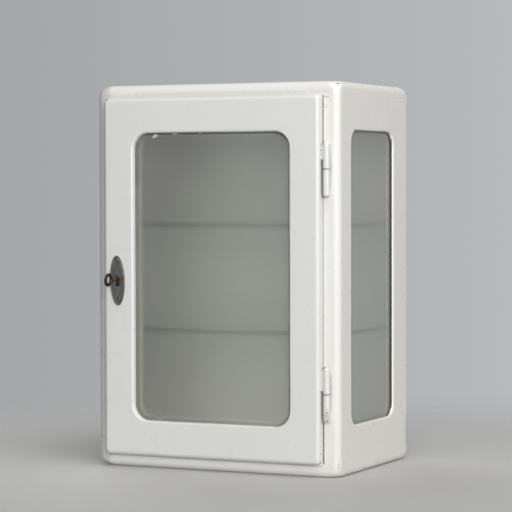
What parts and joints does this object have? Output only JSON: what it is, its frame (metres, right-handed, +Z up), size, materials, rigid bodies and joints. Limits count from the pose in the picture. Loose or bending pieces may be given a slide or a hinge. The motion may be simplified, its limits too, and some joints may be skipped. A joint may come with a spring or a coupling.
{
  "type": "glass door medical cabinet",
  "caption": "Small upright enamelled steel cabinet with frosted side panes, glass shelves and a hinged, glazed door that locks with a key.",
  "frame": {"origin": "centre of the body's underside", "axes": "+Z up, +Y to the back so that the door faces -Y, +X to the viewer's right, where the hinges are"},
  "size_m": [0.417, 0.3398, 0.6],
  "materials": {
    "enamel": "gloss",
    "frosted_glass": "frosted",
    "shelf_glass": "polished",
    "dark_steel": "worn",
    "bright_steel": "satin",
    "blackened_iron": "worn",
    "washer_brass": "dull"
  },
  "bodies": {
    "body": {"top_pan": "enamel", "bottom_pan": "enamel", "left_side_panel": "enamel", "right_side_panel": "enamel", "back_panel": "enamel", "left_pane": "frosted_glass", "right_pane": "frosted_glass", "left_pane_frame": "enamel", "right_pane_frame": "enamel", "left_pane_frame_screw_1": "bright_steel", "left_pane_frame_screw_2": "bright_steel", "left_pane_frame_screw_3": "bright_steel", "left_pane_frame_screw_4": "bright_steel", "right_pane_frame_screw_1": "bright_steel", "right_pane_frame_screw_2": "bright_steel", "right_pane_frame_screw_3": "bright_steel", "right_pane_frame_screw_4": "bright_steel", "upper_shelf": "shelf_glass", "lower_shelf": "shelf_glass", "upper_shelf_bracket_front_left": "enamel", "upper_shelf_bracket_front_right": "enamel", "upper_shelf_bracket_rear_left": "enamel", "upper_shelf_bracket_rear_right": "enamel", "lower_shelf_bracket_front_left": "enamel", "lower_shelf_bracket_front_right": "enamel", "lower_shelf_bracket_rear_left": "enamel", "lower_shelf_bracket_rear_right": "enamel", "upper_hinge_frame_knuckle": "enamel", "lower_hinge_frame_knuckle": "enamel", "upper_hinge_pin": "bright_steel", "lower_hinge_pin": "bright_steel", "upper_hinge_washer": "washer_brass", "lower_hinge_washer": "washer_brass"},
    "door": {"door_panel": "enamel", "door_pane": "frosted_glass", "door_inner_frame": "enamel", "door_inner_frame_screw_1": "bright_steel", "door_inner_frame_screw_2": "bright_steel", "door_inner_frame_screw_3": "bright_steel", "door_inner_frame_screw_4": "bright_steel", "door_inner_frame_screw_5": "bright_steel", "door_inner_frame_screw_6": "bright_steel", "door_inner_frame_screw_7": "bright_steel", "door_inner_frame_screw_8": "bright_steel", "upper_hinge_door_knuckle": "enamel", "lower_hinge_door_knuckle": "enamel", "key_plate": "dark_steel", "key_plate_screw_1": "bright_steel", "key_plate_screw_2": "bright_steel", "lock_cover": "dark_steel", "lock_case": "dark_steel", "lock_screw_1": "bright_steel", "lock_screw_2": "bright_steel"},
    "bolt": {"lock_bolt": "bright_steel"},
    "key": {"key": "blackened_iron"}
  },
  "joints": [
    {"name": "door_swing", "type": "hinge", "parent": "body", "child": "door", "pos_m": [0.1907, -0.14875, 0.3], "axis": [0, 0, 1], "range_deg": [0, 170]},
    {"name": "key_turn", "type": "hinge", "parent": "door", "child": "key", "pos_m": [-0.163, -0.16, 0.2962], "axis": [0, -1, 0], "range_deg": [0, 360]},
    {"name": "bolt_throw", "type": "slide", "parent": "door", "child": "bolt", "axis": [-1, 0, 0], "range_m": [0, 0.008]}
  ],
  "couplings": [
    {"joint": "key_turn", "follows": "bolt_throw", "rad_per_m": 785.3}
  ]
}
